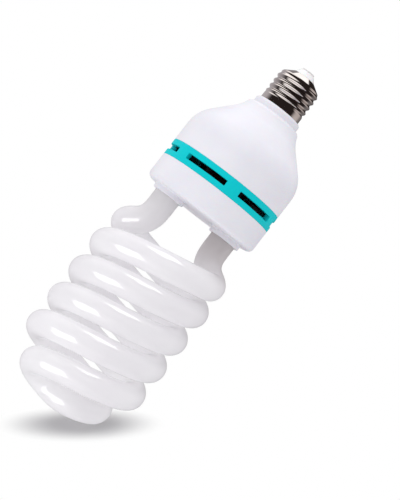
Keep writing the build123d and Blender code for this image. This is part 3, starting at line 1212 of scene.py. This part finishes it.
@dataclass
class PhotoCamera:
    """The camera at the photograph's viewing angle, placed by the pixel that shows a point of the axis."""

    lens: float = 144.0
    sensor: float = 36.0
    image: tuple[int, int] = (400, 500)
    distance: float = 1116.9
    roll: float = 52.251
    tilt: float = 2.707
    spin: float = 0.97
    aim_pixel: Pair = (226.15, 178.66)
    clip: Pair = (0.01, 50.0)

    def turn(self) -> Matrix:
        """The turn from the model's axes to the camera's.

        The model is spun about its own axis, faced from -Y, leaned towards the camera by the tilt and
        turned in the image by the roll, counted from the image's right to the cap's direction.

        Returns:
            A 3 by 3 matrix.
        """
        faced = Matrix(((1, 0, 0), (0, 0, 1), (0, -1, 0)))
        spun = Matrix.Rotation(math.radians(self.spin), 3, "Z")
        leaned = Matrix.Rotation(math.radians(-self.tilt), 3, "X")
        rolled = Matrix.Rotation(math.radians(self.roll - 90), 3, "Z")
        return rolled @ leaned @ faced @ spun

    def to_model(self, direction: Direction) -> Vector:
        """A direction in the camera's right, up and backward axes, turned into the model's, at length one."""
        return (self.turn().transposed() @ Vector(direction)).normalized()

    def location(self) -> Vector:
        """Where the camera stands, so that the vent ring's top middle falls on its pixel."""
        focal = self.lens / self.sensor * max(self.image)
        across = (self.aim_pixel[0] - self.image[0] / 2) / focal
        up = (self.image[1] / 2 - self.aim_pixel[1]) / focal
        seen = Vector((across, up, -1.0)) * self.distance
        target = Vector((0, 0, low("upper_housing").z))
        return (target - self.turn().transposed() @ seen) * MM

    def build(self) -> None:
        """Add the camera and use it."""
        data = bpy.data.cameras.new("photo_camera")
        data.lens = self.lens
        data.sensor_width = self.sensor
        data.clip_start, data.clip_end = self.clip
        camera = bpy.data.objects.new("photo_camera", data)
        camera.matrix_world = Matrix.Translation(self.location()) @ self.turn().transposed().to_4x4()
        bpy.context.scene.collection.objects.link(camera)
        bpy.context.scene.camera = camera


class LightUse(Enum):
    """What a studio light does: it shades surfaces, or it shows only as a highlight in the glass."""

    SHADING = "shading"
    HIGHLIGHT = "highlight"


@dataclass(frozen=True)
class Softbox:
    """A rectangular studio light, placed in the camera's axes; one for highlights reaches the glass alone."""

    name: str
    direction: Direction
    edge: Direction
    size: Pair
    power: float
    distance: float = 1.1

    def build(self, use: LightUse, camera: PhotoCamera, target: Vector) -> None:
        """Add the light, facing the target, with its width along its edge's direction.

        Args:
            use: What the light does.
            camera: The camera whose axes the directions are given in.
            target: The point that the light faces.
        """
        data = bpy.data.lights.new(self.name, "AREA")
        data.shape = "RECTANGLE"
        data.size, data.size_y = self.size
        data.energy = self.power
        light = bpy.data.objects.new(self.name, data)
        light.visible_diffuse = use is LightUse.SHADING
        light.visible_glossy = use is LightUse.HIGHLIGHT
        if use is LightUse.HIGHLIGHT:
            glass = bpy.data.collections.new(self.name)
            glass.objects.link(bpy.data.objects["spiral_tube"])
            light.light_linking.receiver_collection = glass
        outward = camera.to_model(self.direction)
        upright = outward.cross(camera.to_model(self.edge)).normalized()
        across = upright.cross(outward)
        facing = Matrix((across, upright, outward)).transposed().to_4x4()
        light.matrix_world = Matrix.Translation(target + outward * self.distance) @ facing
        bpy.context.scene.collection.objects.link(light)


@dataclass(frozen=True)
class ReflectedCard:
    """A soft pale patch of the room that shows only in shiny surfaces, placed in the camera's axes."""

    direction: Direction
    inner_angle: float
    outer_angle: float
    colour: Colour

    def build(self, nodes: Nodes, look: Socket, room: Socket, camera: PhotoCamera) -> Socket:
        """Lay the card over the room, full inside its inner angle and gone at its outer angle.

        Args:
            nodes: The world's nodes.
            look: The direction that a ray looks in.
            room: The room's colour without the card.
            camera: The camera whose axes the direction is given in.

        Returns:
            The room's colour with the card.
        """
        facing = nodes.add("VectorMath", look, camera.to_model(self.direction))
        facing.operation = "DOT_PRODUCT"
        gone, full = (math.cos(math.radians(angle)) for angle in (self.outer_angle, self.inner_angle))
        return nodes.blend(nodes.step(facing.outputs["Value"], gone, full), room, opaque(self.colour))


@dataclass
class Studio:
    """White room: a small grey floor under the tube, a painted shadow that the tube's real shade deepens,
    fading into white paper, soft boxes and an even fill.
    """

    camera: PhotoCamera
    floor_reach: Pair = (0.049, 0.030)
    floor_shift: Pair = (-0.010, -0.004)
    floor_fade: float = 0.75
    floor_lean: float = 16.0
    # The floor's grey is painted shadow under the tube.
    floor_shadow_grey: float = 0.52
    floor_roughness: float = 0.5
    floor_shine: float = 0.2
    fill: Colour = (0.82, 0.81, 0.84)
    paper: Colour = (1.0, 1.0, 1.0)
    dark_room: Colour = (0.028, 0.021, 0.020)
    cards: tuple[ReflectedCard, ...] = (
        ReflectedCard((-0.55, 0.45, -0.70), 10.0, 62.0, (0.60, 0.57, 0.60)),
        ReflectedCard((0.55, -0.50, -0.67), 8.0, 40.0, (0.28, 0.26, 0.26)),
        ReflectedCard((0.94, -0.29, -0.15), 8.0, 38.0, (0.76, 0.69, 0.67)),
        ReflectedCard((-0.66, -0.46, 0.52), 14.0, 46.0, (1.7, 1.66, 1.64)),
        ReflectedCard((0.00, 0.95, -0.20), 14.0, 38.0, (1.7, 1.66, 1.64)),
        ReflectedCard((0.43, 0.68, -0.59), 12.0, 15.0, (1.7, 1.7, 1.7)),
    )
    middle: Direction = (0.0, 0.0, -0.14)
    light_bounces: int = 32
    highlights: tuple[Softbox, ...] = (
        Softbox("left_highlight", (-0.854, -0.107, 0.505), (0.58, -0.17, 0.80), (0.90, 0.72), 24.0),
        Softbox("top_highlight", (0.47, 0.83, 0.27), (0.78, -0.33, -0.54), (0.65, 0.70), 18.0),
    )
    boxes: tuple[Softbox, ...] = (
        Softbox("left_box", (-0.80, -0.38, 0.46), (0.56, -0.60, 0.57), (0.95, 0.95), 3.5),
        Softbox("top_box", (0.40, 0.86, 0.20), (0.80, -0.50, 0.36), (0.60, 1.10), 4.8),
        Softbox("low_box", (0.45, -0.78, -0.44), (0.86, 0.50, 0.0), (0.90, 0.90), 1.6),
    )

    def build_floor(self) -> None:
        """Lay the floor, whose grey middle is a painted shadow, under the tube's lowest point, with no part
        in other surfaces' light or reflections.

        Its upward direction is the image's up, leaned a little towards the camera.
        """
        lean = math.radians(self.floor_lean)
        normal = self.camera.to_model((0.0, math.cos(lean), math.sin(lean)))
        right = self.camera.to_model((1.0, 0.0, 0.0))
        away = normal.cross(right)
        tube = bpy.data.objects["spiral_tube"].data
        points = np.empty(len(tube.vertices) * 3, np.float32)
        tube.vertices.foreach_get("co", points)
        points = points.reshape(-1, 3)
        contact = Vector(points[np.argmin(points @ np.array(normal))])
        middle = contact + right * self.floor_shift[0] + away * self.floor_shift[1]
        wide, deep = right * self.floor_reach[0], away * self.floor_reach[1]
        corners = [middle + wide * x + deep * y for x, y in ((-1, -1), (1, -1), (1, 1), (-1, 1))]
        mesh = bpy.data.meshes.new("floor")
        mesh.from_pydata([tuple(corner) for corner in corners], [], [(0, 1, 2, 3)])
        mesh.materials.append(self.floor_material(middle, Matrix((right, away, normal)).transposed()))
        floor = add_object(mesh)
        floor.visible_diffuse = False
        floor.visible_glossy = False
        floor.visible_shadow = False

    def floor_material(self, middle: Vector, axes: Matrix) -> Material:
        """Matt grey, a painted shadow on which the tube's real shade also falls, that fades into bright paper
        all round, and nothing at all seen from below.

        Args:
            middle: The middle of the fade.
            axes: The directions to the right, away from the camera and up, as columns.

        Returns:
            The material.
        """
        nodes = MaterialNodes("floor_finish")
        # Painted shadow: a grey floor, on which the tube's real shade also falls, fading out into the paper.
        nodes.set(
            Base_Color=opaque((self.floor_shadow_grey,) * 3),
            Roughness=self.floor_roughness,
            Specular_IOR_Level=self.floor_shine,
        )
        around = nodes.add("Mapping", Vector=nodes.add("TexCoord").outputs["Object"])
        around.vector_type = "TEXTURE"
        scale = (*self.floor_reach, self.floor_reach[0])
        nodes.fill(around, Location=middle, Rotation=axes.to_euler(), Scale=scale)
        fade = nodes.add("TexGradient", Vector=around.outputs["Vector"])
        fade.gradient_type = "SPHERICAL"
        paper = nodes.add("Emission", Color=opaque(self.paper)).outputs["Emission"]
        shown = nodes.mixed(nodes.step(fade.outputs["Fac"], 0.0, self.floor_fade), paper, nodes.body)
        clear = nodes.add("BsdfTransparent").outputs["BSDF"]
        below = nodes.add("NewGeometry").outputs["Backfacing"]
        nodes.fill(nodes.output, Surface=nodes.mixed(below, shown, clear))
        nodes.material.cycles.emission_sampling = "NONE"
        return nodes.material

    def build_world(self) -> None:
        """White paper behind everything, an even fill on surfaces, a dark room with cards in reflections."""
        world = bpy.data.worlds.new("white_room")
        nodes = Nodes(world)
        ray = nodes.add("LightPath").outputs
        look = nodes.add("TexCoord").outputs["Generated"]
        room = nodes.add("RGB").outputs["Color"]
        room.default_value = opaque(self.dark_room)
        for card in self.cards:
            room = card.build(nodes, look, room, self.camera)
        lit = nodes.blend(ray["Is Glossy Ray"], opaque(self.fill), room)
        seen = nodes.blend(ray["Is Camera Ray"], lit, opaque(self.paper))
        background = nodes.add("Background", Color=seen)
        nodes.add("OutputWorld", Surface=background.outputs["Background"])
        world.cycles.sampling_method = "NONE"
        bpy.context.scene.world = world

    def build(self) -> None:
        """Add the floor, the room and the lights, and show colours as they are."""
        self.build_floor()
        self.build_world()
        for use, boxes in ((LightUse.HIGHLIGHT, self.highlights), (LightUse.SHADING, self.boxes)):
            for box in boxes:
                box.build(use, self.camera, Vector(self.middle))
        scene = bpy.context.scene
        scene.cycles.diffuse_bounces = self.light_bounces
        scene.cycles.max_bounces = 2 * self.light_bounces
        scene.view_settings.view_transform = "Standard"


def main() -> None:
    """Build the finishes and the bulb's sub-assemblies, then the camera and the studio round them."""
    logging.basicConfig(level=logging.INFO, format="%(name)s %(message)s")
    for finish in FINISHES.values():
        finish.build()
    for assembly in (ScrewCap(), BallastHousing(), LampTube(), BallastParts()):
        assembly.build()
    camera = PhotoCamera()
    camera.build()
    Studio(camera).build()


if __name__ == "__main__":
    main()
